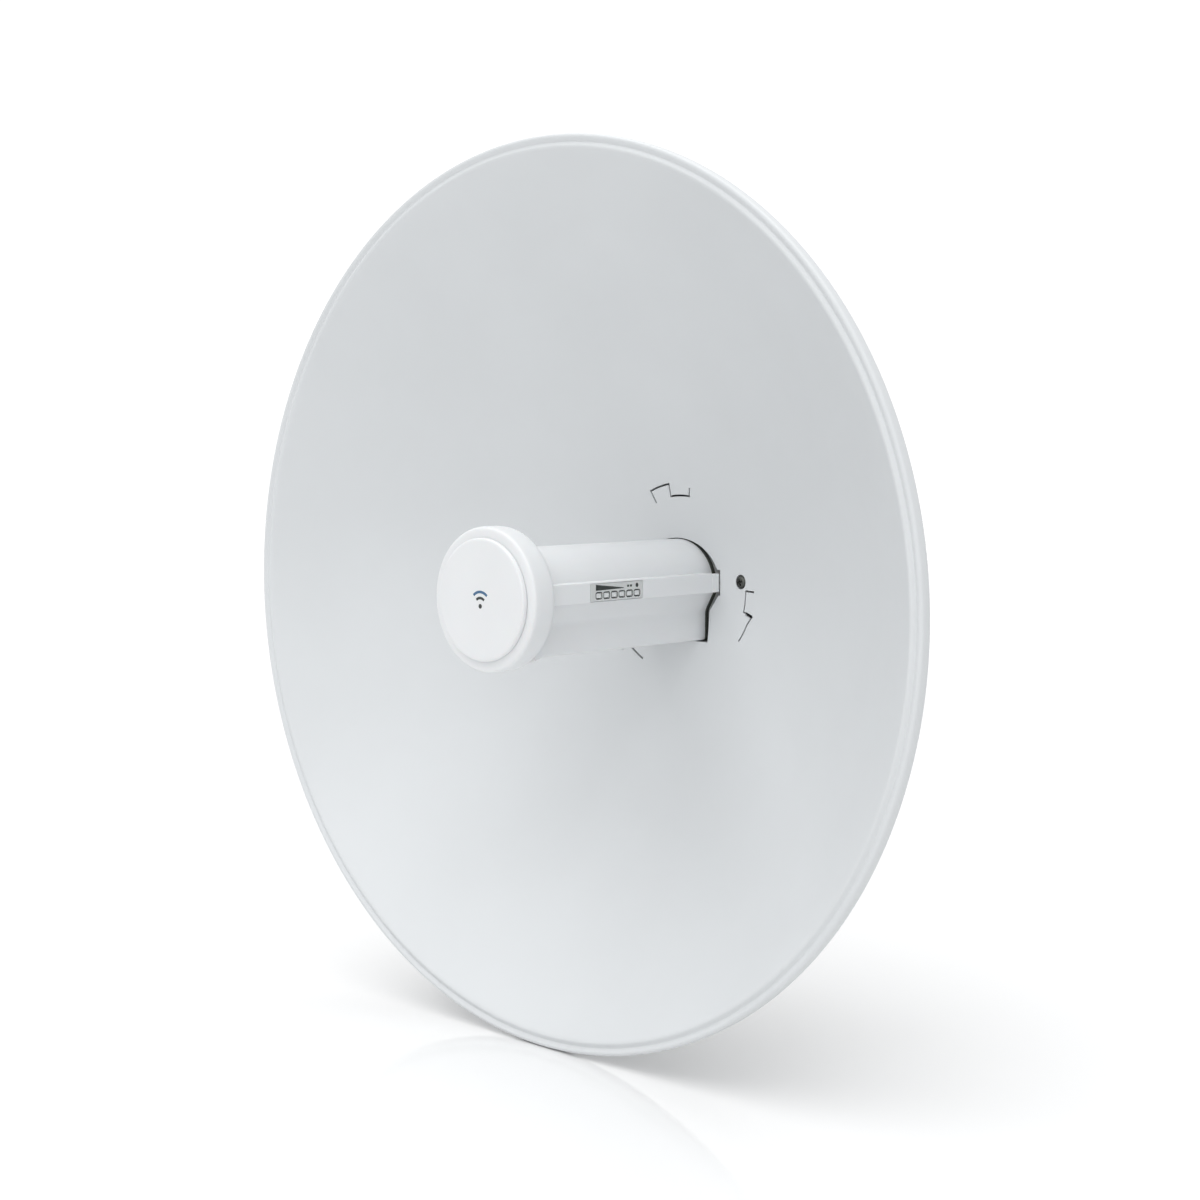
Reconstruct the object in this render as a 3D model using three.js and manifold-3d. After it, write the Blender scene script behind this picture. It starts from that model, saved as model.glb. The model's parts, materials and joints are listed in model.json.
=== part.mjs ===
// Outdoor wireless bridge: a dish reflector, the radio feed that plugs into its
// hub, a rear housing that tilts, and a clamp for a round pole.
// Units are millimetres. +Z is up, the beam leaves along -Y, and the origin is
// on the pole's axis at the height of the dish's centre.
// Places along the beam are given as a depth behind the dish's front plane.

import * as THREE from 'three';
import { mergeVertices } from 'three/addons/utils/BufferGeometryUtils.js';
import Module from 'manifold-3d';

const wasm = await Module();
wasm.setup();

// ---- driving dimensions ----

const POLE_DEPTH = 224;          // the pole's axis, behind the dish's front plane
const POLE_RADIUS = 20;          // the pole that the jaws are drawn around
const GAP = 0.3;                 // between pieces that only rest on each other

const RIM_RADIUS = 261.2;        // outermost edge of the dish
const BOWL_RADIUS = 251;         // where the bowl rolls over into the rim
const VERTEX_DEPTH = 119.5;      // deepest point of the bowl
const FOCAL_LENGTH = 133.5;
const SHEET = 1.5;
const DISH_SEGMENTS = 64;

const BARREL_RADIUS = 28;        // round top of the feed's barrel
const BARREL_SIDE = 21.5;        // half the width of its square lower part
const BARREL_FLOOR = -33;
const BARREL_SHOULDER = -4;      // where the round part ends
const BARREL_CHEEK = -15;        // where the slanted facet ends
const BARREL_FRONT = -28.5;
const BARREL_TAIL = 140;
const BARREL_WALL = 2.2;
const HUB_GAP = 4.3;             // between the barrel's sides and the hole it passes through
const COLLAR_WALL = 1.8;         // of the collar round the barrel behind the cap
const COLLAR_LENGTH = 8;
const HUB_WIDE = 34.5;           // the hole's round top: half its width
const HUB_HIGH = 29;             // and its height

const RIB_FACE = 34;             // the rib on the barrel's right side
const RIB_LOW = -3.4;
const RIB_HIGH = 8.6;
const RIB_END = 110.4;

const CAP_RADIUS = 40.8;
const CAP_FRONT = -44.8;
const FACE_DISC_RADIUS = 34.55;
const FACE_DISC_FRONT = -47.7;

const LED_COUNT = 6;
const LED_FIRST = 12.2;
const LED_PITCH = 6.34;
const LED_HEIGHT = 0.8;

const PANEL_START = 5;
const PANEL_END = 49.1;

const LATCH_ROOT_DEPTH = 136;
const RESET_X = 14.5;
const RESET_DEPTH = 130;

const SCREW_RING_RADIUS = 53.5;  // the lock screw beside the hub
const SCREW_ANGLE = 4.5;

const DRUM_RADIUS = 72;          // rear housing, against the dish
const DRUM_BACK = 146;
const NECK_HALF = 21;            // rear housing, between the bracket's ears
const PIVOT_DEPTH = 175;
const PIVOT_HEIGHT = 15;
const LOCK_ARM = 30;             // from the pivot to the tilt lock bolt
const TILT_LIMIT = 20;           // degrees each way
const BOLT_RADIUS = 4;           // M8
const BORE_RADIUS = 4.3;

const EAR_INNER = 21.8;
const PLATE = 3;
const JAW_HALF_HEIGHT = 36;
const JAW_HALF_WIDTH = 46;
const JAW_WING = 21;             // half width of the jaw's V
const CLAMP_BOLT_X = 36;
const CLAMP_BOLT_Z = 22;
const CLAMP_BOLT_END = 256;

// ---- shape helpers ----

const row = (depth) => depth - POLE_DEPTH;
const radians = THREE.MathUtils.degToRad;

// An outline from a list of [x, y] points.
function outline(points) {
  return new THREE.Shape(points.map(([x, y]) => new THREE.Vector2(x, y)));
}

function rectangle(x0, y0, x1, y1) {
  return outline([[x0, y0], [x1, y0], [x1, y1], [x0, y1]]);
}

function circle(x, y, radius) {
  return new THREE.Shape().absarc(x, y, radius, 0, 2 * Math.PI, false);
}

function hexagon(x, y, acrossFlats) {
  const corner = acrossFlats / Math.sqrt(3);
  const turns = [0, 1, 2, 3, 4, 5].map((i) => i * Math.PI / 3);
  return outline(turns.map((t) => [x + corner * Math.cos(t), y + corner * Math.sin(t)]));
}

// A rectangle with rounded corners, centred on x, y.
function roundedRectangle(x, y, width, height, radius) {
  const shape = new THREE.Shape();
  const left = x - width / 2 + radius;
  const right = x + width / 2 - radius;
  const low = y - height / 2 + radius;
  const high = y + height / 2 - radius;
  shape.absarc(right, low, radius, -Math.PI / 2, 0, false);
  shape.absarc(right, high, radius, 0, Math.PI / 2, false);
  shape.absarc(left, high, radius, Math.PI / 2, Math.PI, false);
  shape.absarc(left, low, radius, Math.PI, 1.5 * Math.PI, false);
  return shape;
}

// A closed geometry as a manifold solid, turned so that its faces point out.
function solid(geometry) {
  const bare = geometry.clone();
  bare.deleteAttribute('normal');
  bare.deleteAttribute('uv');
  const merged = mergeVertices(bare, 1e-4);
  const place = merged.getAttribute('position').array;
  const index = merged.index.array;
  const kept = [];
  let volume = 0;
  for (let i = 0; i < index.length; i += 3) {
    const [a, b, c] = [index[i], index[i + 1], index[i + 2]];
    if (a === b || b === c || c === a) continue;
    kept.push(a, b, c);
    const [p, q, r] = [a, b, c].map((v) => new THREE.Vector3().fromArray(place, 3 * v));
    volume += p.dot(q.cross(r));
  }
  if (volume < 0) {
    kept.reverse();
  }
  return new wasm.Manifold(new wasm.Mesh({
    numProp: 3,
    vertProperties: new Float32Array(place),
    triVerts: new Uint32Array(kept),
  }));
}

function extruded(shape, length, segments) {
  return new THREE.ExtrudeGeometry(shape, {
    depth: length,
    bevelEnabled: false,
    curveSegments: segments,
  });
}

// Outline in x and z, from one depth to another.
function alongY(shape, from, to, segments = 12) {
  const geometry = extruded(shape, to - from, segments);
  geometry.rotateX(Math.PI / 2);
  geometry.translate(0, row(to), 0);
  return solid(geometry);
}

// Outline in depth and z, from one x to another.
function alongX(shape, from, to, segments = 12) {
  const geometry = extruded(shape, to - from, segments);
  const basis = new THREE.Matrix4().makeBasis(
    new THREE.Vector3(0, 1, 0),
    new THREE.Vector3(0, 0, 1),
    new THREE.Vector3(1, 0, 0),
  );
  geometry.applyMatrix4(basis);
  geometry.translate(from, -POLE_DEPTH, 0);
  return solid(geometry);
}

// Outline in x and depth, from one z to another.
function alongZ(shape, from, to, segments = 12) {
  const geometry = extruded(shape, to - from, segments);
  geometry.translate(0, -POLE_DEPTH, from);
  return solid(geometry);
}

// Profile of [radius, depth] points, turned about the beam's axis.
function turned(profile, segments) {
  const points = profile.map(([radius, depth]) => new THREE.Vector2(radius, row(depth)));
  return solid(new THREE.LatheGeometry(points, segments));
}

// The same profile about a line along Y through x, z.
function turnedAt(profile, segments, x, z) {
  return turned(profile, segments).translate([x, 0, z]);
}

// A plain block from its corners, each [x, depth, z].
function block(low, high) {
  return alongZ(rectangle(low[0], low[1], high[0], high[1]), low[2], high[2]);
}

function joined(solids) {
  return solids.reduce((sum, next) => sum.add(next));
}

function cut(body, tools) {
  return tools.reduce((left, tool) => left.subtract(tool), body);
}

const group = new THREE.Group();

function addPart(name, manifold, colour, roughness, metalness = 0) {
  const mesh = manifold.getMesh();
  const geometry = new THREE.BufferGeometry();
  geometry.setAttribute('position', new THREE.BufferAttribute(mesh.vertProperties, 3));
  geometry.setIndex(new THREE.BufferAttribute(mesh.triVerts, 1));
  geometry.computeVertexNormals();
  const material = new THREE.MeshStandardMaterial({ color: colour, roughness, metalness });
  const part = new THREE.Mesh(geometry, material);
  part.name = name;
  group.add(part);
}

const WHITE_PAINT = '#e3e6e8';
const WHITE_PLASTIC = '#e9ebec';
const GREY_PLASTIC = '#c9cccf';
const STEEL = '#9a9da0';
const DARK_STEEL = '#3c3e40';
const RUBBER = '#2b2c2e';

// ---- dish ----

function bowlDepth(radius) {
  return VERTEX_DEPTH - radius * radius / (4 * FOCAL_LENGTH);
}

// A point of the bowl, moved back from the front surface along its normal.
function bowlPoint(radius, offset) {
  const slope = radius / (2 * FOCAL_LENGTH);
  const length = Math.hypot(1, slope);
  return [radius + offset * slope / length, bowlDepth(radius) + offset / length];
}

const BOWL_STATIONS = [22, 60, 96, 126, 152, 174, 194, 212, 227, 240, BOWL_RADIUS];

// From the bowl's edge: a convex roll, a shallow groove, a bead and a folded hem.
const RIM_FRONT = [[252.6, 0.1], [254.1, -0.5], [255.4, 0.1], [256.5, 0.8], [257.6, 0.2], [259, -0.7],
  [260.5, 0], [RIM_RADIUS, 1.6]];
const RIM_BACK = [[RIM_RADIUS, 5.4], [260.4, 6.3], [258.8, 6.3], [258.4, 2.6], [256.4, 2.5], [254.2, 1.4]];

function dishProfile() {
  const front = BOWL_STATIONS.map((radius) => bowlPoint(radius, 0));
  const back = BOWL_STATIONS.map((radius) => bowlPoint(radius, SHEET)).reverse();
  return [...front, ...RIM_FRONT, ...RIM_BACK, ...back, front[0]];
}

// The barrel's section, moved out by grow at the sides and by floorGrow below.
function barrelSection(grow, floorGrow = grow, wide = BARREL_RADIUS + grow, high = wide) {
  const side = BARREL_SIDE + grow;
  const floor = BARREL_FLOOR - floorGrow;
  const start = Math.asin(BARREL_SHOULDER / high);
  const shape = new THREE.Shape();
  shape.moveTo(side, floor);
  shape.lineTo(side, BARREL_CHEEK);
  shape.absellipse(0, 0, wide, high, start, Math.PI - start, false);
  shape.lineTo(-side, BARREL_CHEEK);
  shape.lineTo(-side, floor);
  shape.closePath();
  return shape;
}

// Each bayonet slot as a line of [radius, angle] corners: a stub, an arc, a
// step, a second arc and, where there is one, a second stub.
const SLOT_WIDTH = 1.4;
const BAYONET_SLOTS = [
  [[61.2, 76.6], [55.9, 76.6], [54.1, 92.3], [61.7, 92.3], [59.7, 107.3], [51.6, 106.2]],
  [[65.7, -1], [57.9, -1], [57.9, -13.6], [66, -14], [63.4, -19], [61.6, -30.5]],
  [[53.8, 242], [53.8, 226], [59.2, 226], [58.4, 212]],
];
const SLOT_STEP = 4;              // degrees between the points of an arc

function polarPoint(radius, angle) {
  return [radius * Math.cos(radians(angle)), radius * Math.sin(radians(angle))];
}

function slotPoints(corners) {
  const points = [polarPoint(...corners[0])];
  corners.slice(1).forEach(([radius, angle], i) => {
    const [startRadius, startAngle] = corners[i];
    const steps = Math.max(1, Math.round(Math.abs(angle - startAngle) / SLOT_STEP));
    for (let step = 1; step <= steps; step += 1) {
      const along = step / steps;
      points.push(polarPoint(
        startRadius + (radius - startRadius) * along,
        startAngle + (angle - startAngle) * along,
      ));
    }
  });
  return points;
}

// A straight slit from one point to another, carried on by half its width.
function slit([fromX, fromZ], [toX, toZ]) {
  const length = Math.hypot(toX - fromX, toZ - fromZ);
  const half = SLOT_WIDTH / 2;
  const [x, z] = [((toX - fromX) / length) * half, ((toZ - fromZ) / length) * half];
  return outline([
    [fromX - x + z, fromZ - z - x],
    [toX + x + z, toZ + z - x],
    [toX + x - z, toZ + z + x],
    [fromX - x - z, fromZ - z + x],
  ]);
}

function bayonetSlot(corners) {
  const points = slotPoints(corners);
  const slits = points.slice(1).map((point, i) => slit(points[i], point));
  return joined(slits.map((shape) => alongY(shape, 90, 125, 4)));
}

const screwX = SCREW_RING_RADIUS * Math.cos(radians(SCREW_ANGLE));
const screwZ = SCREW_RING_RADIUS * Math.sin(radians(SCREW_ANGLE));

// The hub's hole follows the barrel, with a notch for the rib.
function hubCutter(from, to) {
  return joined([
    alongY(barrelSection(HUB_GAP, 1, HUB_WIDE, HUB_HIGH), from, to, 16),
    alongY(rectangle(20, RIB_LOW - 0.6, RIB_FACE + 0.8, RIB_HIGH + 0.6), from, to),
  ]);
}

function dishReflector() {
  const shell = turned(dishProfile(), DISH_SEGMENTS);
  const screwHole = alongY(circle(screwX, screwZ, 4.4), 90, 125, 8);
  return cut(shell, [hubCutter(90, 130), screwHole, ...BAYONET_SLOTS.map(bayonetSlot)]);
}

addPart('dish_reflector', dishReflector(), WHITE_PAINT, 0.45);

// ---- rear housing ----

const DRUM_WALL = 3;

function dishBack(radius) {
  return bowlDepth(radius) + SHEET * Math.hypot(1, radius / (2 * FOCAL_LENGTH)) + GAP;
}

const DRUM_OUTER = [[DRUM_RADIUS, dishBack(DRUM_RADIUS)], [DRUM_RADIUS, 126], [69.5, 136], [64.5, 142.5],
  [57, DRUM_BACK]];

// A closed shell: outer skin, back wall and inner skin, open towards the dish.
function drumShell() {
  const inner = [[54, DRUM_BACK - DRUM_WALL], [61, 140.5], [66.5, 134.5], [69, 126],
    [69, dishBack(69)]];
  return turned([...DRUM_OUTER, [0, DRUM_BACK], [0, DRUM_BACK - DRUM_WALL], ...inner,
    DRUM_OUTER[0]], 48);
}

function drumFilled() {
  return turned([[0, 112], [DRUM_RADIUS, 112], ...DRUM_OUTER.slice(1), [0, DRUM_BACK]], 48);
}

// The sleeve that carries the barrel's tail, joined to the drum's back wall.
function tailSleeve() {
  const outer = joined([
    alongY(barrelSection(HUB_GAP + 2.4, 3.6, HUB_WIDE + 2.4, HUB_HIGH + 2.4), 121.4, DRUM_BACK - 1, 12),
    block([20, 121.4, RIB_LOW - 3.2], [RIB_FACE + 3.4, DRUM_BACK - 1, RIB_HIGH + 3.2]),
  ]);
  return outer.subtract(hubCutter(120, DRUM_BACK - DRUM_WALL));
}

// The neck: a block with round ends, bored for the pivot and the lock bolt.
function neck() {
  const boss = 10;
  const shape = new THREE.Shape();
  shape.moveTo(DRUM_BACK - 1, PIVOT_HEIGHT + boss + 6);
  shape.lineTo(PIVOT_DEPTH - 6, PIVOT_HEIGHT + boss);
  shape.absarc(PIVOT_DEPTH, PIVOT_HEIGHT, boss, Math.PI / 2, 0, true);
  shape.absarc(PIVOT_DEPTH, PIVOT_HEIGHT - LOCK_ARM, boss, 0, -Math.PI / 2, true);
  shape.lineTo(DRUM_BACK - 1, PIVOT_HEIGHT - LOCK_ARM - boss - 4);
  shape.closePath();
  const bores = [PIVOT_HEIGHT, PIVOT_HEIGHT - LOCK_ARM].map(
    (height) => alongX(circle(PIVOT_DEPTH, height, BORE_RADIUS), -30, 30, 8),
  );
  return cut(alongX(shape, -NECK_HALF, NECK_HALF, 8), bores);
}

// Way in from below for the network plug, closed by the port cover.
const PORT_HALF = 17;
const PORT_FRONT = 111;
const PORT_BACK = 142.2;

function rearHousing() {
  const screwBoss = turnedAt([[0, dishBack(46)], [7, dishBack(46)], [7, DRUM_BACK - 1],
    [0, DRUM_BACK - 1]], 12, screwX, screwZ);
  const shell = joined([drumShell(), tailSleeve(), neck(), screwBoss]);
  const port = block([-PORT_HALF, 100, -80], [PORT_HALF, PORT_BACK, BARREL_FLOOR + 1]);
  const screwHole = alongY(circle(screwX, screwZ, 2.3), 100, 140, 4);
  const neckPocket = block([-15, DRUM_BACK - DRUM_WALL - 2, -8], [15, 164, 8]);
  return cut(shell, [port, screwHole, neckPocket]);
}

addPart('rear_housing', rearHousing(), WHITE_PLASTIC, 0.5);

// The space that the dish takes up, with the bowl filled in.
function dishSpace() {
  const radii = [0, 30, 44, 58, DRUM_RADIUS, 90];
  const back = radii.map((radius) => [radius, dishBack(radius)]);
  return turned([[0, 80], [90, 80], ...back.reverse()], DISH_SEGMENTS);
}

// The port cover is the slice of the drum that fills the port.
function portCover() {
  const low = -DRUM_RADIUS - 2;
  const slice = drumFilled().intersect(
    block([-PORT_HALF + 0.4, PORT_FRONT, low], [PORT_HALF - 0.4, PORT_BACK - 0.4, -44]),
  );
  const hollow = block([-PORT_HALF + 2.6, 100, -66], [PORT_HALF - 2.6, PORT_BACK - 2.8, -40]);
  const outlet = alongZ(circle(0, 129, 6.4), low, -60, 8);
  return cut(slice, [hollow, outlet, dishSpace()]);
}

addPart('port_cover', portCover(), WHITE_PLASTIC, 0.5);

function cableGrommet() {
  const body = joined([
    alongZ(circle(0, 129, 6.1), -71.4, -64.4, 8),
    alongZ(circle(0, 129, 8.2), -65.6, -63.4, 8),
  ]);
  return body.subtract(alongZ(circle(0, 129, 3.3), -80, -50, 6));
}

addPart('cable_grommet', cableGrommet(), RUBBER, 0.8);

// A pan-head screw along Y, its head towards the dish's front.
function lockScrew() {
  const head = bowlDepth(SCREW_RING_RADIUS) - 1.2;
  const profile = [[0, head], [2.6, head], [3.6, head + 0.9], [3.8, head + 2.2], [2, head + 2.2],
    [2, head + 20], [0, head + 21]];
  const recess = alongY(hexagon(screwX, screwZ, 2.5), head - 1, head + 1.4);
  return turnedAt(profile, 16, screwX, screwZ).subtract(recess);
}

addPart('lock_screw', lockScrew(), DARK_STEEL, 0.4, 0.8);

// ---- feed ----

function feedBody() {
  const shell = joined([
    alongY(barrelSection(0), BARREL_FRONT, BARREL_TAIL, 16),
    alongY(rectangle(24, RIB_LOW, RIB_FACE, RIB_HIGH), BARREL_FRONT, RIB_END),
    alongY(rectangle(26, -2, 33, 7.2), LATCH_ROOT_DEPTH, BARREL_TAIL),
  ]);
  const cavity = alongY(barrelSection(-BARREL_WALL), -40, BARREL_TAIL + 5, 16);
  const ledSlot = block([20, 4, LED_HEIGHT - 2.2], [RIB_FACE - 1.6, 52, LED_HEIGHT + 2.2]);
  const panelSeat = block(
    [RIB_FACE - 1, PANEL_START, RIB_LOW + 0.7],
    [RIB_FACE + 1, PANEL_END, RIB_HIGH - 0.7],
  );
  const windowWay = block([RIB_FACE - 3, 9, LED_HEIGHT - 2.2], [RIB_FACE + 1, 47, LED_HEIGHT + 2.2]);
  const jackMouth = block([-8.5, 122.4, -40], [8.5, 138.6, -20]);
  const buttonHole = alongZ(circle(RESET_X, RESET_DEPTH, 2.1), -40, -20, 6);
  const rails = [1, -1].map((side) => {
    const inner = side * 20.4;
    const outer = side * (BARREL_RADIUS - 1);
    return block([Math.min(inner, outer), -10, -1.4], [Math.max(inner, outer), 128, 1]);
  });
  const hollow = cut(shell, [cavity, ledSlot, panelSeat, windowWay, jackMouth, buttonHole]);
  return cut(joined([hollow, ...rails]), [ledSlot]);
}

addPart('feed_body', feedBody(), WHITE_PLASTIC, 0.42);

// The ring that the cap clips onto, with a collar round the barrel's front end.
function capBase() {
  const back = BARREL_FRONT - GAP;
  const disc = turned([[0, back - 2.7], [37.6, back - 2.7], [37.6, back + 1], [0, back + 1]], 40);
  const collar = alongY(barrelSection(COLLAR_WALL + 0.2), back + 0.5, BARREL_FRONT + COLLAR_LENGTH, 16);
  return cut(joined([disc, collar]), [
    alongY(barrelSection(-BARREL_WALL), -40, BARREL_FRONT + 5, 16),
    alongY(barrelSection(0.2), back, BARREL_FRONT + COLLAR_LENGTH + 1, 16),
    alongY(rectangle(20, RIB_LOW - 0.2, RIB_FACE + 2, RIB_HIGH + 0.2), back, 0),
  ]);
}

addPart('cap_base', capBase(), WHITE_PLASTIC, 0.42);

function feedCap() {
  const outer = [[0, CAP_FRONT], [38.6, CAP_FRONT], [40.1, CAP_FRONT + 0.8], [CAP_RADIUS, CAP_FRONT + 2.4],
    [CAP_RADIUS, -33], [40.2, -30.2], [39.2, -28.6]];
  const inner = [[38.1, -28.6], [38.1, -41.6], [37, -42.6], [0, -42.6]];
  return turned([...outer, ...inner], 48);
}

addPart('feed_cap', feedCap(), WHITE_PLASTIC, 0.4);

function capFaceDisc() {
  const back = CAP_FRONT - GAP;
  return turned([[0, FACE_DISC_FRONT], [33.3, FACE_DISC_FRONT], [34.3, FACE_DISC_FRONT + 0.5],
    [FACE_DISC_RADIUS, FACE_DISC_FRONT + 1.4], [FACE_DISC_RADIUS, back], [0, back]], 48);
}

addPart('cap_face_disc', capFaceDisc(), WHITE_PLASTIC, 0.38);

addPart('cap_seal', turned([[34.6, -33.6], [36.2, -34], [37.7, -33.6], [37.7, -32.2], [36.2, -31.8],
  [34.6, -32.2], [34.6, -33.6]], 32), RUBBER, 0.8);

addPart('sub_reflector', turned([[0, -38.2], [10, -39.4], [34, -41.8], [36, -41.8], [36, -40.6], [34, -40.6],
  [10, -38], [0, -36.8]], 32), '#c5c8ca', 0.3, 0.9);

// The radiator: a driven plate on a post, in front of its ground plane.
function radiator() {
  const post = turned([[0, -30], [3, -30], [3, -12], [0, -12]], 12);
  const plate = block([-13, -27.6, -13], [13, -26.4, 13]);
  const ground = alongY(circle(0, 0, 20), -18, -16.6, 16);
  return joined([post, plate, ground]);
}

addPart('radiator', radiator(), '#b98a4a', 0.35, 0.9);

addPart('circuit_board', block([-20, -9, 1.3], [20, 126, 2.9]), '#1f5a37', 0.5);

function rfShield() {
  const can = block([-14, 64, 3.2], [14, 104, 9]);
  return can.subtract(block([-13.4, 64.6, 2], [13.4, 103.4, 8.4]));
}

addPart('rf_shield', rfShield(), '#b9bcbf', 0.35, 0.9);

// Network jack: its socket opens downwards through the barrel's floor.
function networkJack() {
  const shell = block([-8, 123, -32.4], [8, 138, -2]);
  const socket = block([-5.9, 126.8, -40], [5.9, 133.6, -14]);
  const catchWay = block([-3.2, 124.8, -40], [3.2, 127, -24]);
  return cut(shell, [socket, catchWay]);
}

addPart('network_jack', networkJack(), '#b9bcbf', 0.35, 0.8);

const CONTACT_COUNT = 8;
const CONTACT_PITCH = 1.02;

// The jack's contacts, held in one insulating bar across the socket's roof.
function jackContacts() {
  const blades = [block([-4.6, 131, -16.4], [4.6, 133.3, -14.3])];
  for (let i = 0; i < CONTACT_COUNT; i += 1) {
    const x = (i - (CONTACT_COUNT - 1) / 2) * CONTACT_PITCH;
    blades.push(block([x - 0.25, 131.8, -26], [x + 0.25, 133.3, -15]));
  }
  return joined(blades);
}

addPart('jack_contacts', jackContacts(), '#c9a24a', 0.3, 1);

addPart('tail_cover', alongY(barrelSection(-0.4), BARREL_TAIL + GAP, BARREL_TAIL + 2.4, 16),
  WHITE_PLASTIC, 0.5);

addPart('reset_switch', block([11.2, 122, -2.6], [17.8, 128.2, 0.9]), RUBBER, 0.6);

// The reset button's long stem ends just inside the barrel's floor.
addPart('reset_button', joined([
  alongZ(circle(RESET_X, RESET_DEPTH, 1.7), -32.6, -4.6, 6),
  block([12.6, 123.4, -5.2], [16.4, 131.7, -3.6]),
]), GREY_PLASTIC, 0.5);

// Light pipe: a spine beside the board with one finger to each window.
function ledDepths() {
  return Array.from({ length: LED_COUNT }, (_, i) => LED_FIRST + i * LED_PITCH);
}

function lightPipe() {
  const spine = block([21, 9.6, LED_HEIGHT - 1.4], [31, 46.6, LED_HEIGHT + 1.4]);
  const fingers = ledDepths().map((depth) => block(
    [30, depth - 1.9, LED_HEIGHT - 1.3],
    [RIB_FACE - 0.3, depth + 1.9, LED_HEIGHT + 1.3],
  ));
  return joined([spine, ...fingers]);
}

addPart('light_pipe', lightPipe(), '#dfe5e6', 0.2);

// The panel over the light pipe: a thin plate with one window for each light.
function ledPanel() {
  const plate = block(
    [RIB_FACE - 0.7, PANEL_START + GAP, RIB_LOW + 1],
    [RIB_FACE, PANEL_END - GAP, RIB_HIGH - 1],
  );
  const windows = ledDepths().map((depth) => alongX(
    roundedRectangle(depth, LED_HEIGHT, 4.6, 3.4, 1),
    RIB_FACE - 3,
    RIB_FACE + 1,
    3,
  ));
  return cut(plate, windows);
}

addPart('led_panel', ledPanel(), GREY_PLASTIC, 0.4);

// A springy tongue at the end of the rib: its thumb pad shows in front of the
// dish, and its arm runs back through the hub to a root on the barrel's tail.
addPart('release_latch', joined([
  block([31, RIB_END + 0.4, RIB_LOW + 0.4], [RIB_FACE + 0.2, 117.2, RIB_HIGH - 0.4]),
  block([31, 116.8, -1.6], [33, LATCH_ROOT_DEPTH - GAP, 6.8]),
]), WHITE_PLASTIC, 0.42);

// ---- pole bracket and tilt joint ----

// How far the jaw's V, of 120 degrees, and its flat flanges stand from the pole's axis.
const JAW_HALF_ANGLE = radians(60);
const JAW_REACH = POLE_RADIUS / Math.sin(JAW_HALF_ANGLE);
const JAW_FLANGE = JAW_REACH - JAW_WING / Math.tan(JAW_HALF_ANGLE);

// The jaw's section: two flanges and the V that holds the pole.
// direction is -1 in front of the pole and +1 behind it.
function jawSection(direction) {
  const reach = JAW_REACH;
  const flange = JAW_FLANGE;
  const skew = PLATE / Math.sin(JAW_HALF_ANGLE);
  const inner = [[-JAW_HALF_WIDTH, flange], [-JAW_WING, flange], [0, reach], [JAW_WING, flange],
    [JAW_HALF_WIDTH, flange]];
  const outer = [[JAW_HALF_WIDTH, flange + PLATE], [JAW_WING - 1, flange + PLATE], [0, reach + skew],
    [1 - JAW_WING, flange + PLATE], [-JAW_HALF_WIDTH, flange + PLATE]];
  return outline([...inner, ...outer].map(([x, away]) => [x, POLE_DEPTH + direction * away]));
}

function boltPlaces() {
  const signs = [1, -1];
  return signs.flatMap((sx) => signs.map((sz) => [sx * CLAMP_BOLT_X, sz * CLAMP_BOLT_Z]));
}

function jaw(direction) {
  const plate = alongZ(jawSection(direction), -JAW_HALF_HEIGHT, JAW_HALF_HEIGHT);
  return cut(plate, boltPlaces().map(([x, z]) => alongY(circle(x, z, 4.5), 190, 260, 8)));
}

// A slot along an arc about the pivot, with round ends.
function tiltSlot() {
  const half = BOLT_RADIUS + 0.5;
  const band = new THREE.Shape();
  const [from, to] = [radians(-90 - TILT_LIMIT), radians(-90 + TILT_LIMIT)];
  band.absarc(PIVOT_DEPTH, PIVOT_HEIGHT, LOCK_ARM + half, from, to, false);
  band.absarc(PIVOT_DEPTH, PIVOT_HEIGHT, LOCK_ARM - half, to, from, true);
  band.closePath();
  const ends = [from, to].map((turn) => alongX(circle(
    PIVOT_DEPTH + LOCK_ARM * Math.cos(turn),
    PIVOT_HEIGHT + LOCK_ARM * Math.sin(turn),
    half,
  ), -40, 40, 8));
  return joined([alongX(band, -40, 40, 10), ...ends]);
}

function poleBracket() {
  const back = POLE_DEPTH - 12;
  const ear = outline([[back, 31], [183, 26.6], [175, 26.4], [167, 24], [163, 18], [156.6, -8],
    [155.8, -14], [158, -20.5], [164.5, -24.2], [175, -25.4], [186, -26], [back, -31]]);
  const ears = [-EAR_INNER - PLATE, EAR_INNER].map((x) => alongX(ear, x, x + PLATE));
  const pivotHole = alongX(circle(PIVOT_DEPTH, PIVOT_HEIGHT, BOLT_RADIUS + 0.4), -40, 40, 8);
  return cut(joined([jaw(-1), ...ears]), [pivotHole, tiltSlot()]);
}

addPart('pole_bracket', poleBracket(), STEEL, 0.45, 0.9);

addPart('pole_clamp', jaw(1), STEEL, 0.45, 0.9);

// A carriage bolt: a domed head in front of the bracket's flange.
function carriageBolt(x, z) {
  const seat = POLE_DEPTH - JAW_FLANGE - PLATE - GAP;
  const profile = [[0, seat - 4.4], [4, seat - 3.9], [7, seat - 2.3], [8, seat - 0.6], [8, seat],
    [BOLT_RADIUS, seat], [BOLT_RADIUS, CLAMP_BOLT_END - 1], [BOLT_RADIUS - 0.8, CLAMP_BOLT_END],
    [0, CLAMP_BOLT_END]];
  return turnedAt(profile, 12, x, z);
}

function clampNut(x, z) {
  const seat = POLE_DEPTH + JAW_FLANGE + PLATE + GAP;
  const washer = [[0, seat], [8.4, seat], [8.4, seat + 1], [7.2, seat + 1.8], [0, seat + 1.8]];
  const hex = alongY(hexagon(x, z, 13), seat + 1, seat + 8);
  const body = turnedAt(washer, 16, x, z).add(hex);
  return body.subtract(alongY(circle(x, z, BORE_RADIUS), 230, 260, 6));
}

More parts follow.
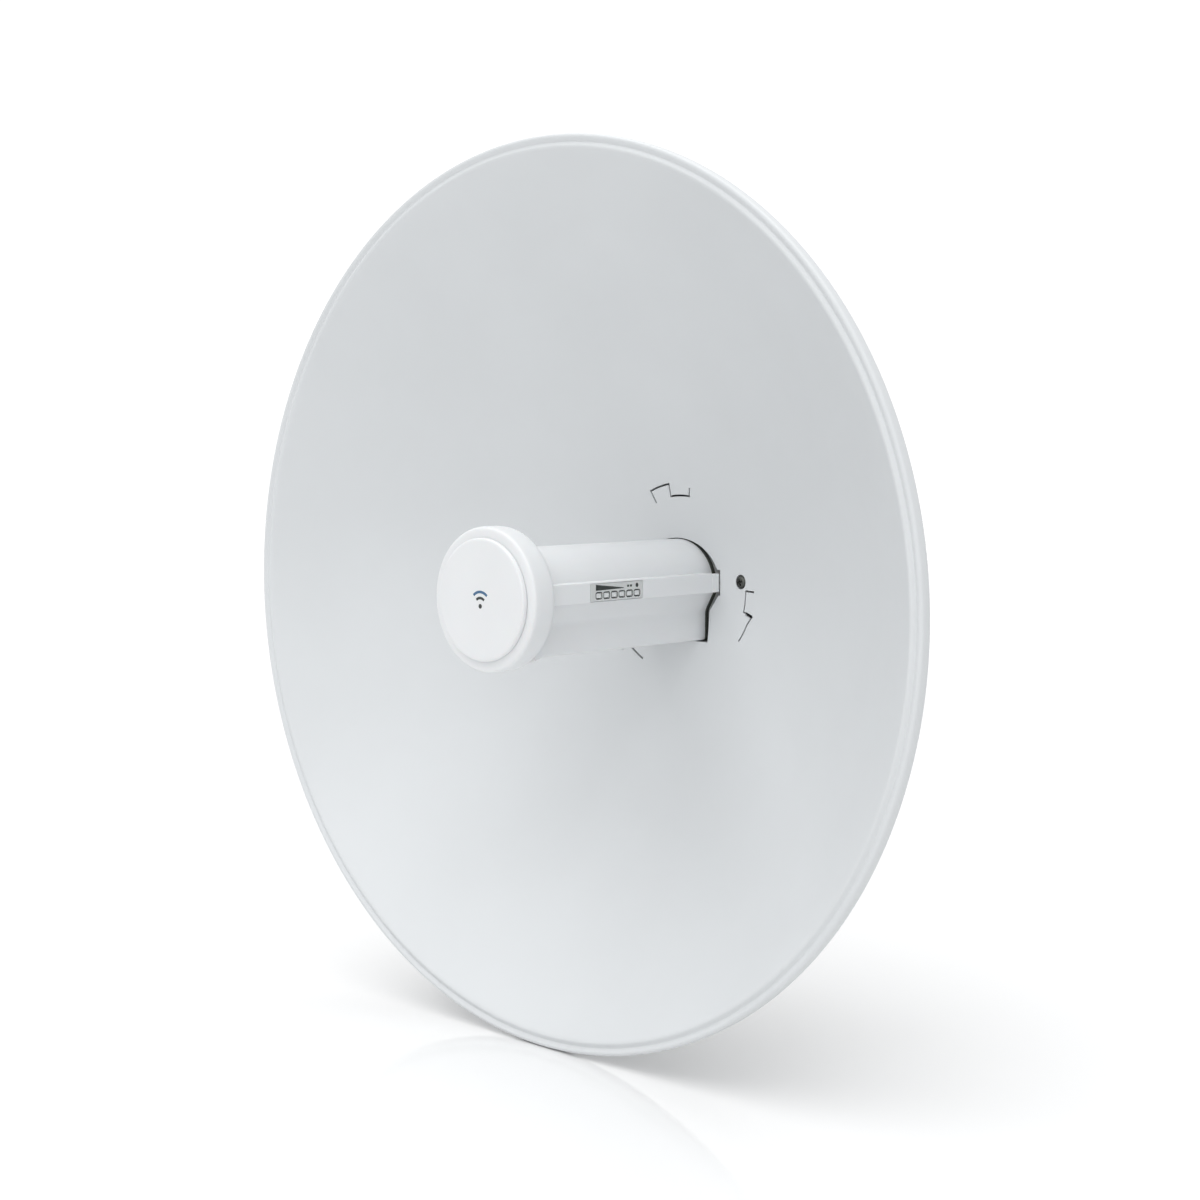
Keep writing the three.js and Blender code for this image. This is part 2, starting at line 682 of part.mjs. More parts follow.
boltPlaces().forEach(([x, z], i) => {
  addPart(`carriage_bolt_${i + 1}`, carriageBolt(x, z), STEEL, 0.35, 0.9);
  addPart(`clamp_nut_${i + 1}`, clampNut(x, z), STEEL, 0.35, 0.9);
});

// A cross bolt of the tilt joint and its flange nut, at one height.
const EAR_OUTER = EAR_INNER + PLATE + GAP;

function crossBolt(height) {
  const head = alongX(hexagon(PIVOT_DEPTH, height, 13), -EAR_OUTER - 7, -EAR_OUTER - 1.6);
  const washer = alongX(circle(PIVOT_DEPTH, height, 8.4), -EAR_OUTER - 1.6, -EAR_OUTER, 8);
  const shank = alongX(circle(PIVOT_DEPTH, height, BOLT_RADIUS), -EAR_OUTER - 0.5, EAR_OUTER + 10, 6);
  return joined([head, washer, shank]);
}

function crossNut(height) {
  const washer = alongX(circle(PIVOT_DEPTH, height, 8.4), EAR_OUTER, EAR_OUTER + 1.6, 8);
  const hex = alongX(hexagon(PIVOT_DEPTH, height, 13), EAR_OUTER + 1, EAR_OUTER + 8);
  return washer.add(hex).subtract(alongX(circle(PIVOT_DEPTH, height, BORE_RADIUS), 20, 40, 6));
}

addPart('pivot_bolt', crossBolt(PIVOT_HEIGHT), STEEL, 0.35, 0.9);
addPart('pivot_nut', crossNut(PIVOT_HEIGHT), STEEL, 0.35, 0.9);
addPart('tilt_lock_bolt', crossBolt(PIVOT_HEIGHT - LOCK_ARM), STEEL, 0.35, 0.9);
addPart('tilt_lock_nut', crossNut(PIVOT_HEIGHT - LOCK_ARM), STEEL, 0.35, 0.9);

export default group;
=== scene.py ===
"""Looks of an outdoor wireless bridge: a dish antenna with its feed, housing and pole clamp.

Lengths in this script are millimetres; make_mesh() turns them into metres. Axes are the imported
model's: the beam leaves along -Y and +Z is up. Fine pieces stand for most CAD nodes, and the rest
keep the CAD surface with a material.
"""
import json
import math

import bmesh
import bpy
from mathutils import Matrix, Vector


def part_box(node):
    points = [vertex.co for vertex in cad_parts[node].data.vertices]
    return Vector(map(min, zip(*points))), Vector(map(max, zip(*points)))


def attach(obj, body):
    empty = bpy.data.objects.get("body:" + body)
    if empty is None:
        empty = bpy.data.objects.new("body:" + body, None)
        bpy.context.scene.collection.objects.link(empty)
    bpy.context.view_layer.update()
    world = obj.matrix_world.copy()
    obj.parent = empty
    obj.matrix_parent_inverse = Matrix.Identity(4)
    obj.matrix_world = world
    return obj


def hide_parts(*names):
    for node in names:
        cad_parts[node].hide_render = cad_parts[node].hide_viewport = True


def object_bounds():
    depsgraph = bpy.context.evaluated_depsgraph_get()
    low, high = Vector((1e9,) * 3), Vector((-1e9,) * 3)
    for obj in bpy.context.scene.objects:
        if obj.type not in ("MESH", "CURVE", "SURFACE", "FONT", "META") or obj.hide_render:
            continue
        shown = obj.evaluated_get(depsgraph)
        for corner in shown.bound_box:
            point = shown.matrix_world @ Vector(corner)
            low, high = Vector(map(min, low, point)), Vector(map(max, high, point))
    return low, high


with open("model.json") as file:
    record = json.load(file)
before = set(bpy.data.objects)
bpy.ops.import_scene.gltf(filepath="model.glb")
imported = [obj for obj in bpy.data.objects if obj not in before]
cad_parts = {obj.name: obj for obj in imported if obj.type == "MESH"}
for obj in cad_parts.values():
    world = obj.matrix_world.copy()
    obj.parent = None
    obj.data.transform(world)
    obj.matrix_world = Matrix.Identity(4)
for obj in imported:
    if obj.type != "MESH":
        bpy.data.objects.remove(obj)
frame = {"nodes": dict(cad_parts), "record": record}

MM = 0.001
CAD_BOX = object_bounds()
SLOT_OF = {part["node"]: part["material_slot"] for part in frame["record"]["subparts"]}
BODY_OF = {node: body
           for body, nodes in frame["record"]["behaviour"]["bodies"].items() for node in nodes}


def box_mm(node):
    """The low and high corners of a CAD node's box."""
    low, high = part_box(node)
    return low / MM, high / MM


# ---- sizes shared with the CAD model ----

DISH_LOW, DISH_HIGH = box_mm("dish_reflector")
RIM_RADIUS = DISH_HIGH.z
RIM_BEAD = 0.7                      # how far the rim's bead stands in front of the front plane
FRONT = DISH_LOW.y + RIM_BEAD       # y of the dish's front plane
BOWL_RADIUS = 251
BOWL_EYE = 20                       # where the bowl's surface starts, inside the hub's hole
VERTEX_DEPTH = 119.5                # of the bowl, behind the front plane
FOCAL_LENGTH = 133.5
SHEET = 1.5

BARREL_RADIUS = 28
BARREL_SIDE = 21.5                  # half the width of its square lower part
BARREL_FLOOR = -33
BARREL_SHOULDER = -4                # where the round part ends
BARREL_CHEEK = -15                  # where the slanted facet ends
BARREL_FRONT = FRONT - 28.5
BARREL_TAIL = FRONT + 140
BARREL_WALL = 2.2
BARREL_ROUND = 2.2                  # how far its long edges are rounded
RIB_FACE = 34                       # x of the rib's outer face
RIB_ROOT = 20                       # x inside the barrel, where cuts for the rib start
RIB_LOW, RIB_HIGH = -3.4, 8.6
RIB_END = FRONT + 110.4
COLLAR_WALL, COLLAR_LENGTH = 1.8, 8
CAP_BASE_RADIUS = 37.6
HUB_GAP = 4.3                       # between the barrel's sides and the hub's hole
HUB_WIDE, HUB_HIGH = 34.5, 28.6     # half the width of the hole's round top, and its height
SCREW_HOLE = 4.4                    # radius

LED_COUNT = 6
LED_FIRST, LED_PITCH, LED_HEIGHT = 12.2, 6.34, 0.8
LED_WINDOW = (4.6, 3.4)             # width and height
JACK_MOUTH = (-8.5, 8.5, FRONT + 122.4, FRONT + 138.6)      # low x, high x, low y, high y
RESET_HOLE = (14.5, FRONT + 130, 2.1)                       # x, y, radius

# Each bayonet slot as a line of (radius, angle) corners: a stub, an arc, a step, a
# second arc and, where there is one, a second stub.
SLOT_WIDTH = 1.15
SLOT_STEP = 4                       # degrees between the points of an arc
BAYONET_SLOTS = [
    [(61.2, 76.6), (55.9, 76.6), (54.1, 92.3), (61.7, 92.3), (59.7, 107.3), (51.6, 106.2)],
    [(65.7, -1), (57.9, -1), (57.9, -13.6), (66, -14), (63.4, -19), (61.6, -30.5)],
    [(53.8, 242), (53.8, 226), (59.2, 226), (58.4, 212)],
]
WIDE_STEP = [(60, -13.8), (66.2, -14.2)]                    # the second slot's step
WIDE_STEP_WIDTH = 2.3

BOLT_RADIUS, BOLT_PITCH = 4, 1.25
TICK_START = 19.8                   # from the pivot to the tilt scale's ticks
MARK_RELIEF = 0.06                  # how far the cap's printed sign stands out


# ---- mesh helpers ----

def make_mesh(name, points, faces, smooth_angle=35):
    """A new object from points in millimetres, with sharp edges above smooth_angle degrees."""
    mesh = bpy.data.meshes.new(name)
    mesh.from_pydata([Vector(p) * MM for p in points], [], faces)
    mesh.validate()
    piece = bpy.data.objects.new(name, mesh)
    bpy.context.scene.collection.objects.link(piece)
    shade(piece, smooth_angle)
    return piece


def shade(piece, smooth_angle):
    """Smooth shading, apart from edges sharper than smooth_angle degrees."""
    piece.data.shade_smooth()
    piece.data.set_sharp_from_angle(angle=math.radians(smooth_angle))


def turn(name, profile, segments=128, x=0.0, z=0.0, smooth_angle=35):
    """Turns a closed profile of (radius, y) about a line along Y through x, z.
    The profile starts and ends on the line, or closes on itself."""
    points, faces, rings = [], [], []
    for radius, y in profile:
        if radius < 1e-6:
            rings.append([len(points)])
            points.append((x, y, z))
            continue
        ring = []
        for i in range(segments):
            turned = 2 * math.pi * i / segments
            ring.append(len(points))
            points.append((x + radius * math.sin(turned), y, z + radius * math.cos(turned)))
        rings.append(ring)
    on_axis = len(rings[0]) == 1
    pairs = list(zip(rings, rings[1:]))
    if not on_axis:
        pairs.append((rings[-1], rings[0]))
    for first, second in pairs:
        for i in range(segments):
            j = (i + 1) % segments
            if len(first) == 1:
                faces.append((first[0], second[i], second[j]))
            elif len(second) == 1:
                faces.append((first[i], second[0], first[j]))
            else:
                faces.append((first[i], second[i], second[j], first[j]))
    piece = make_mesh(name, points, faces, smooth_angle)
    face_out(piece)
    shade(piece, smooth_angle)
    return piece


def face_out(piece):
    """Turns every face outwards."""
    work = bmesh.new()
    work.from_mesh(piece.data)
    bmesh.ops.recalc_face_normals(work, faces=work.faces)
    if work.calc_volume(signed=True) < 0:
        bmesh.ops.reverse_faces(work, faces=work.faces)
    work.to_mesh(piece.data)
    work.free()


def prism(name, outline, low, high, place):
    """A prism over an outline of 2-D points. place turns (a, b, height) into x, y, z."""
    count = len(outline)
    points = [place(a, b, low) for a, b in outline] + [place(a, b, high) for a, b in outline]
    faces = [tuple(range(count))[::-1], tuple(range(count, 2 * count))]
    for i in range(count):
        j = (i + 1) % count
        faces.append((i, j, count + j, count + i))
    piece = make_mesh(name, points, faces)
    face_out(piece)
    shade(piece, 35)
    return piece


def along_x(a, b, height):
    return height, a, b


def along_y(a, b, height):
    return a, height, b


def along_z(a, b, height):
    return a, b, height


def arc(x, y, radius, start, end, steps):
    """Points along an arc, in degrees."""
    turns = [math.radians(start + (end - start) * i / steps) for i in range(steps + 1)]
    return [(x + radius * math.cos(t), y + radius * math.sin(t)) for t in turns]


def circle(x, y, radius):
    return arc(x, y, radius, 0, 350, 35)


def rectangle(left, right, low, high):
    return [(left, low), (right, low), (right, high), (left, high)]


def rounded_box(x, y, width, height, radius, steps=6):
    """The outline of a rectangle about x, y with rounded corners."""
    right, left = x + width / 2 - radius, x - width / 2 + radius
    high, low = y + height / 2 - radius, y - height / 2 + radius
    return (arc(right, low, radius, -90, 0, steps) + arc(right, high, radius, 0, 90, steps)
            + arc(left, high, radius, 90, 180, steps) + arc(left, low, radius, 180, 270, steps))


def smoothed(points, rounds=2):
    """Cuts the corners of an open line of points."""
    for _ in range(rounds):
        cut = [points[0]]
        for (x0, y0), (x1, y1) in zip(points, points[1:]):
            cut.append((0.75 * x0 + 0.25 * x1, 0.75 * y0 + 0.25 * y1))
            cut.append((0.25 * x0 + 0.75 * x1, 0.25 * y0 + 0.75 * y1))
        points = cut + [points[-1]]
    return points


def rounded_corners(outline, radius, angle=12, steps=4):
    """Rounds the corners of an outline that turn by more than angle."""
    rounded = []
    points = [Vector(p) for p in outline]
    for i, point in enumerate(points):
        before, after = points[i - 1] - point, points[(i + 1) % len(points)] - point
        bend = math.degrees(math.pi - before.angle(after))
        if bend < angle:
            rounded.append(tuple(point))
            continue
        reach = min(radius, before.length * 0.45, after.length * 0.45)
        start, end = point + before.normalized() * reach, point + after.normalized() * reach
        for step in range(steps + 1):
            t = step / steps
            rounded.append(tuple(start * (1 - t) ** 2 + point * 2 * t * (1 - t) + end * t * t))
    return rounded


def loft(name, outlines):
    """A closed piece through outlines of equal count, each given as (y, outline)."""
    count = len(outlines[0][1])
    points = [(a, y, b) for y, outline in outlines for a, b in outline]
    faces = [tuple(range(count))[::-1], tuple(range(len(points) - count, len(points)))]
    for row in range(len(outlines) - 1):
        for i in range(count):
            j = (i + 1) % count
            a, b = row * count, (row + 1) * count
            faces.append((a + i, a + j, b + j, b + i))
    piece = make_mesh(name, points, faces)
    face_out(piece)
    return piece


def cut_away(piece, cutters):
    """Subtracts each cutter from the piece and removes the cutters."""
    bpy.context.view_layer.objects.active = piece
    for cutter in cutters:
        cutting = piece.modifiers.new("cut", "BOOLEAN")
        cutting.operation = "DIFFERENCE"
        cutting.solver = "EXACT"
        cutting.object = cutter
        with bpy.context.temp_override(object=piece, active_object=piece):
            bpy.ops.object.modifier_apply(modifier=cutting.name)
        bpy.data.objects.remove(cutter)


def joined(piece, others):
    """Adds each other piece to the first and removes it."""
    for other in others:
        joining = piece.modifiers.new("join", "BOOLEAN")
        joining.operation = "UNION"
        joining.solver = "EXACT"
        joining.object = other
        with bpy.context.temp_override(object=piece, active_object=piece):
            bpy.ops.object.modifier_apply(modifier=joining.name)
        bpy.data.objects.remove(other)


def weighted(piece):
    """Keeps large faces flat in the shading beside narrow rounded edges."""
    normals = piece.modifiers.new("normals", "WEIGHTED_NORMAL")
    normals.keep_sharp = True
    normals.weight = 60


WELD = 0.01                         # points closer than this are one
FLAT_ANGLE = 0.8                    # faces closer than this many degrees are one flat face


def refine(node, width=0.35, segments=2, angle=30, smooth_angle=40):
    """A finer copy of a CAD node: flat faces merged and edges rounded. It stands for the node."""
    work = bmesh.new()
    work.from_mesh(frame["nodes"][node].data)
    bmesh.ops.remove_doubles(work, verts=work.verts, dist=WELD * MM)
    bmesh.ops.dissolve_limit(work, angle_limit=math.radians(FLAT_ANGLE),
                            verts=work.verts, edges=work.edges)
    mesh = bpy.data.meshes.new(node + "_fine")
    work.to_mesh(mesh)
    work.free()
    piece = bpy.data.objects.new(node + "_fine", mesh)
    bpy.context.scene.collection.objects.link(piece)
    rounding = piece.modifiers.new("rounding", "BEVEL")
    rounding.width = width * MM
    rounding.segments = segments
    rounding.limit_method = "ANGLE"
    rounding.angle_limit = math.radians(angle)
    rounding.miter_outer = "MITER_ARC"
    rounding.use_clamp_overlap = True
    shade(piece, smooth_angle)
    weighted(piece)
    stand_for(piece, node)


def stand_for(piece, node):
    """Puts a finished piece in a CAD node's place, with the node's material."""
    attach(piece, BODY_OF[node])
    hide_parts(node)
    piece.data.materials.clear()
    piece.data.materials.append(MATERIALS[SLOT_OF[node]])


def add_detail(piece, node, material):
    """A small piece that rides with a node's body."""
    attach(piece, BODY_OF[node])
    piece.data.materials.clear()
    piece.data.materials.append(material)


# ---- materials ----

class Nodes:
    """A short way to write a material's node tree."""

    def __init__(self, name):
        self.material = bpy.data.materials.new(name)
        self.material.use_nodes = True
        self.tree = self.material.node_tree
        self.tree.nodes.clear()
        self.shader = self.tree.nodes.new("ShaderNodeBsdfPrincipled")
        output = self.tree.nodes.new("ShaderNodeOutputMaterial")
        self.link(self.shader.outputs["BSDF"], output.inputs["Surface"])
        self.place = self.tree.nodes.new("ShaderNodeTexCoord").outputs["Object"]

    def link(self, source, target):
        self.tree.links.new(source, target)

    def noise(self, size, detail=3.0, roughness=0.5, stretch=(1, 1, 1)):
        """Noise whose features are about size millimetres across, from 0 to 1."""
        mapping = self.tree.nodes.new("ShaderNodeMapping")
        mapping.inputs["Scale"].default_value = stretch
        self.link(self.place, mapping.inputs["Vector"])
        made = self.tree.nodes.new("ShaderNodeTexNoise")
        made.inputs["Scale"].default_value = 1 / (size * MM)
        made.inputs["Detail"].default_value = detail
        made.inputs["Roughness"].default_value = roughness
        self.link(mapping.outputs["Vector"], made.inputs["Vector"])
        return made.outputs["Fac"]

    def cells(self, size, feature="F1"):
        """Cells about size millimetres across."""
        made = self.tree.nodes.new("ShaderNodeTexVoronoi")
        made.feature = feature
        made.inputs["Scale"].default_value = 1 / (size * MM)
        self.link(self.place, made.inputs["Vector"])
        return made

    def ramp(self, factor, low, high, start=0.3, end=0.7):
        """A colour that goes from low to high as factor goes from start to end."""
        made = self.tree.nodes.new("ShaderNodeValToRGB")
        made.color_ramp.elements[0].position = start
        made.color_ramp.elements[0].color = (*low, 1)
        made.color_ramp.elements[1].position = end
        made.color_ramp.elements[1].color = (*high, 1)
        self.link(factor, made.inputs["Fac"])
        return made.outputs["Color"]

    def span(self, factor, low, high):
        """A value that goes from low to high as factor goes from 0 to 1."""
        made = self.tree.nodes.new("ShaderNodeMapRange")
        made.inputs["To Min"].default_value = low
        made.inputs["To Max"].default_value = high
        self.link(factor, made.inputs["Value"])
        return made.outputs["Result"]

    def bump(self, height, depth, strength=1.0, under=None):
        """A bump of depth millimetres."""
        made = self.tree.nodes.new("ShaderNodeBump")
        made.inputs["Distance"].default_value = depth * MM
        made.inputs["Strength"].default_value = strength
        self.link(height, made.inputs["Height"])
        if under is not None:
            self.link(under, made.inputs["Normal"])
        return made.outputs["Normal"]

    def set(self, **values):
        for socket, value in values.items():
            self.shader.inputs[socket.replace("_", " ")].default_value = value

    def drive(self, socket, source):
        self.link(source, self.shader.inputs[socket])


def shades(colour, spread):
    """Two colours, a little darker and a little lighter than colour."""
    return [tuple(max(0.0, min(1.0, c * (1 + side * spread))) for c in colour) for side in (-1, 1)]


def painted_metal(name, colour):
    """Satin powder coat: orange peel, a fine grain and faint cloudiness."""
    nodes = Nodes(name)
    nodes.drive("Base Color", nodes.ramp(nodes.noise(70, 2), *shades(colour, 0.012)))
    nodes.drive("Roughness", nodes.span(nodes.noise(9, 3), 0.4, 0.5))
    peel = nodes.bump(nodes.noise(2.4, 2), 0.03, 0.35)
    nodes.drive("Normal", nodes.bump(nodes.noise(0.5, 3), 0.008, 0.5, peel))
    nodes.set(Specular_IOR_Level=0.4)
    return nodes.material


def moulded_plastic(name, colour, roughness=0.42, grain=0.35, depth=0.012):
    """Moulded plastic with a fine spark-eroded grain."""
    nodes = Nodes(name)
    nodes.drive("Base Color", nodes.ramp(nodes.noise(38, 2), *shades(colour, 0.012)))
    nodes.drive("Roughness", nodes.span(nodes.noise(6, 3), roughness - 0.04, roughness + 0.05))
    nodes.drive("Normal", nodes.bump(nodes.noise(grain, 4, 0.6), depth, 0.6))
    nodes.set(Specular_IOR_Level=0.42)
    nodes.set(Subsurface_Weight=0.04, Subsurface_Scale=0.002)
    return nodes.material


def rubber(name, colour):
    """Dull moulded rubber with a coarse grain."""
    nodes = Nodes(name)
    nodes.drive("Base Color", nodes.ramp(nodes.noise(4, 3), *shades(colour, 0.15)))
    nodes.drive("Roughness", nodes.span(nodes.noise(2, 3), 0.68, 0.85))
    nodes.drive("Normal", nodes.bump(nodes.noise(0.3, 4), 0.02, 0.6))
    return nodes.material


def galvanised(name, colour):
    """Zinc on steel: crystals of slightly different tone, and a dull fine grain."""
    nodes = Nodes(name)
    spangle = nodes.cells(5)
    tone = nodes.tree.nodes.new("ShaderNodeRGBToBW")
    nodes.link(spangle.outputs["Color"], tone.inputs["Color"])
    nodes.drive("Base Color", nodes.ramp(tone.outputs["Val"], *shades(colour, 0.09), 0.1, 0.9))
    nodes.drive("Roughness", nodes.span(tone.outputs["Val"], 0.34, 0.52))
    nodes.drive("Normal", nodes.bump(nodes.noise(0.6, 4), 0.01, 0.5))
    nodes.set(Metallic=1.0)
    return nodes.material


def plated_metal(name, colour, roughness=0.3, brushed=(1, 1, 1)):
    """Plated or machined metal with fine marks, drawn out along one axis if brushed says so."""
    nodes = Nodes(name)
    nodes.drive("Base Color", nodes.ramp(nodes.noise(3, 3), *shades(colour, 0.06)))
    marks = nodes.noise(1.2, 4, 0.6, brushed)
    nodes.drive("Roughness", nodes.span(marks, roughness - 0.07, roughness + 0.1))
    nodes.drive("Normal", nodes.bump(nodes.noise(0.4, 4, 0.6, brushed), 0.006, 0.6))
    nodes.set(Metallic=1.0)
    return nodes.material


def solder_mask(name, colour):
    """Green lacquer over copper tracks."""
    nodes = Nodes(name)
    tracks = nodes.cells(3.2, "DISTANCE_TO_EDGE").outputs["Distance"]
    nodes.drive("Base Color", nodes.ramp(tracks, [c * 1.8 for c in colour], colour, 0.05, 0.09))
    nodes.drive("Roughness", nodes.span(nodes.noise(5, 2), 0.22, 0.34))
    nodes.drive("Normal", nodes.bump(tracks, 0.03, 0.3))
    return nodes.material


def frosted(name, colour):
    """Frosted clear plastic of the light pipe."""
    nodes = Nodes(name)
    nodes.drive("Base Color", nodes.ramp(nodes.noise(1.5, 3), *shades(colour, 0.03)))
    nodes.drive("Roughness", nodes.span(nodes.noise(0.6, 3), 0.3, 0.42))
    nodes.drive("Normal", nodes.bump(nodes.noise(0.25, 3), 0.008, 0.5))
    nodes.set(Transmission_Weight=0.05, IOR=1.49)
    return nodes.material


def ink(name, colour):
    """Pad-printed ink: nearly flat, with a slight mottle."""
    nodes = Nodes(name)
    nodes.drive("Base Color", nodes.ramp(nodes.noise(0.5, 3), *shades(colour, 0.12)))
    nodes.drive("Roughness", nodes.span(nodes.noise(0.4, 2), 0.42, 0.55))
    return nodes.material


MATERIALS = {
    "dish_paint": painted_metal("dish_paint_look", (0.67, 0.688, 0.7)),
    "feed_plastic": moulded_plastic("feed_plastic_look", (0.765, 0.777, 0.787), 0.4),
    "housing_plastic": moulded_plastic("housing_plastic_look", (0.74, 0.755, 0.765), 0.5,
                                       0.6, 0.03),
    "panel_plastic": moulded_plastic("panel_plastic_look", (0.6, 0.615, 0.61), 0.38, 0.3, 0.006),
    "grey_plastic": moulded_plastic("grey_plastic_look", (0.34, 0.35, 0.36), 0.45),
    "black_plastic": moulded_plastic("black_plastic_look", (0.02, 0.02, 0.022), 0.45),
    "clear_plastic": frosted("clear_plastic_look", (0.74, 0.76, 0.76)),
    "board": solder_mask("board_look", (0.012, 0.09, 0.04)),
    "rubber": rubber("rubber_look", (0.018, 0.018, 0.02)),
    "tin_plate": plated_metal("tin_plate_look", (0.6, 0.61, 0.62), 0.32, (1, 0.15, 1)),
    "bare_aluminium": plated_metal("bare_aluminium_look", (0.72, 0.73, 0.74), 0.34),
    "brass": plated_metal("brass_look", (0.72, 0.5, 0.2), 0.28),
    "dark_steel": plated_metal("dark_steel_look", (0.085, 0.088, 0.082), 0.42),
    "zinc_steel": galvanised("zinc_steel_look", (0.56, 0.57, 0.58)),
    "bolt_steel": plated_metal("bolt_steel_look", (0.62, 0.61, 0.58), 0.3),
}
# Near-black rubber look of the band of painted shade round the barrel where it enters the hub.
PAINTED_HUB_SHADE = rubber("painted_hub_shade_look", (0.05, 0.055, 0.046))
INK = ink("ink_look", (0.022, 0.028, 0.026))
BLUE_INK = ink("blue_ink_look", (0.05, 0.13, 0.24))


# ---- dish ----

def bowl_point(radius, offset):
    """(radius, y) of the bowl's surface, moved back along its normal by offset."""
    slope = radius / (2 * FOCAL_LENGTH)
    length = math.hypot(1, slope)
    depth = VERTEX_DEPTH - radius * radius / (4 * FOCAL_LENGTH)
    return radius + offset * slope / length, FRONT + depth + offset / length


def dish_profile():
    """The section through the bowl's sheet and its rolled rim, as (radius, y) points."""
    rings = 44
    radii = [BOWL_EYE + (BOWL_RADIUS - BOWL_EYE) * i / rings for i in range(rings + 1)]
    front = [bowl_point(radius, 0) for radius in radii]
    back = [bowl_point(radius, SHEET) for radius in radii[::-1]]
    rim = [
        front[-1], (252.6, FRONT + 0.1), (254.1, FRONT - 0.6), (255.4, FRONT + 0.1),
        (256.5, FRONT + 0.9), (257.6, FRONT + 0.1), (259, FRONT - RIM_BEAD - 0.1),
        (260.6, FRONT - 0.4), (RIM_RADIUS, FRONT + 1.4), (RIM_RADIUS, FRONT + 5.6),
        (260.4, FRONT + 6.3), (258.8, FRONT + 6.3), (258.4, FRONT + 2.6),
        (256.4, FRONT + 2.5), (254.2, FRONT + 1.4), back[0],
    ]
    rim = [(min(r, RIM_RADIUS), max(y, FRONT - RIM_BEAD)) for r, y in smoothed(rim)]
    return front[:-1] + rim + back[1:]


def barrel_outline(grow):
    """The barrel's section: round above, slanted below the shoulders, square at the foot."""
    radius, side, floor = BARREL_RADIUS + grow, BARREL_SIDE + grow, BARREL_FLOOR - grow
    start = math.degrees(math.asin(BARREL_SHOULDER / radius))
    top = arc(0, 0, radius, start, 180 - start, 48)
    return [(side, floor), (side, BARREL_CHEEK)] + top + [(-side, BARREL_CHEEK), (-side, floor)]


def slot_outline(corners, width=SLOT_WIDTH):
    """The slit along a line of polar corners, as one outline with mitred corners."""
    line = []
    for (radius, angle), (next_radius, next_angle) in zip(corners, corners[1:]):
        steps = max(1, round(abs(next_angle - angle) / SLOT_STEP))
        for step in range(steps):
            along = step / steps
            line.append((radius + (next_radius - radius) * along,
                         angle + (next_angle - angle) * along))
    line.append(corners[-1])
    points = []
    for radius, angle in line:
        turned = math.radians(angle)
        points.append(Vector((radius * math.cos(turned), radius * math.sin(turned))))
    left, right = [], []
    for i, point in enumerate(points):
        before = (point - points[i - 1]).normalized() if i else (points[1] - point).normalized()
        after = (points[i + 1] - point).normalized() if i < len(points) - 1 else before
        middle = (before + after).normalized()
        across = Vector((-middle.y, middle.x)) * width / 2 / max(0.4, middle.dot(before))
        left.append(tuple(point + across))
        right.append(tuple(point - across))
    return left + right[::-1]


def hub_outline():
    """The hole for the barrel: wide of the barrel at its sides, and close to it at the top."""
    side, floor = BARREL_SIDE + HUB_GAP, BARREL_FLOOR - 1
    start = math.degrees(math.asin(BARREL_SHOULDER / HUB_HIGH))
    steps = 48
    turns = [math.radians(start + (180 - 2 * start) * i / steps) for i in range(steps + 1)]
    top = [(HUB_WIDE * math.cos(t), HUB_HIGH * math.sin(t)) for t in turns]
    return [(side, floor), (side, BARREL_CHEEK)] + top + [(-side, BARREL_CHEEK), (-side, floor)]


def make_dish():
    dish = turn("dish", dish_profile(), 288)
    rib_gap = 1.8
    screw_low, screw_high = box_mm("lock_screw")
    screw = (screw_low + screw_high) / 2
    outlines = [
        hub_outline(),
        rectangle(RIB_ROOT, RIB_FACE + 0.8, RIB_LOW - rib_gap, RIB_HIGH + rib_gap),
        circle(screw.x, screw.z, SCREW_HOLE),
    ]
    outlines += [slot_outline(corners) for corners in BAYONET_SLOTS]
    outlines.append(slot_outline(WIDE_STEP, WIDE_STEP_WIDTH))
    low, high = FRONT + 90, FRONT + 130         # in front of and behind the bowl's middle
    cut_away(dish, [prism("cutter", outline, low, high, along_y) for outline in outlines])
    shade(dish, 30)
    stand_for(dish, "dish_reflector")


# ---- feed ----

def make_cap():
    low, high = box_mm("feed_cap")
    radius, front, back = high.x, low.y, high.y
    outer = smoothed([
        (36, front), (38.7, front), (40.2, front + 0.5), (radius, front + 2),
        (radius, front + 6), (radius, back - 5), (radius - 0.3, back - 2), (39.3, back),
    ], 3)
    inner = [(38.1, back), (38.1, front + 3.2), (37, front + 2.2), (0, front + 2.2)]
    stand_for(turn("cap", [(0, front)] + outer + inner, 160), "feed_cap")


def make_face_disc():
    low, high = box_mm("cap_face_disc")
    radius, front, back = high.x, low.y + MARK_RELIEF, high.y
    edge = smoothed([
        (30, front), (33.2, front), (34.2, front + 0.4), (radius, front + 1.4), (radius, back),
    ], 3)
    stand_for(turn("cap_disc", [(0, front)] + edge + [(0, back)], 160), "cap_face_disc")


def make_cap_mark():
    """A plain radio-wave sign: a dot under two arcs."""
    low, _ = box_mm("cap_face_disc")
    front, back = low.y, low.y + MARK_RELIEF * 1.5
    foot = -3.5
    dot = prism("cap_mark_dot", circle(0, foot, 1.3), front, back, along_y)
    add_detail(dot, "cap_face_disc", INK)
    for i, radius in enumerate((4.6, 8)):
        outer = arc(0, foot, radius + 0.75, 48, 132, 24)
        inner = arc(0, foot, radius - 0.75, 132, 48, 24)
        wave = prism(f"cap_mark_wave_{i + 1}", outer + inner, front, back, along_y)
        add_detail(wave, "cap_face_disc", BLUE_INK if i else INK)


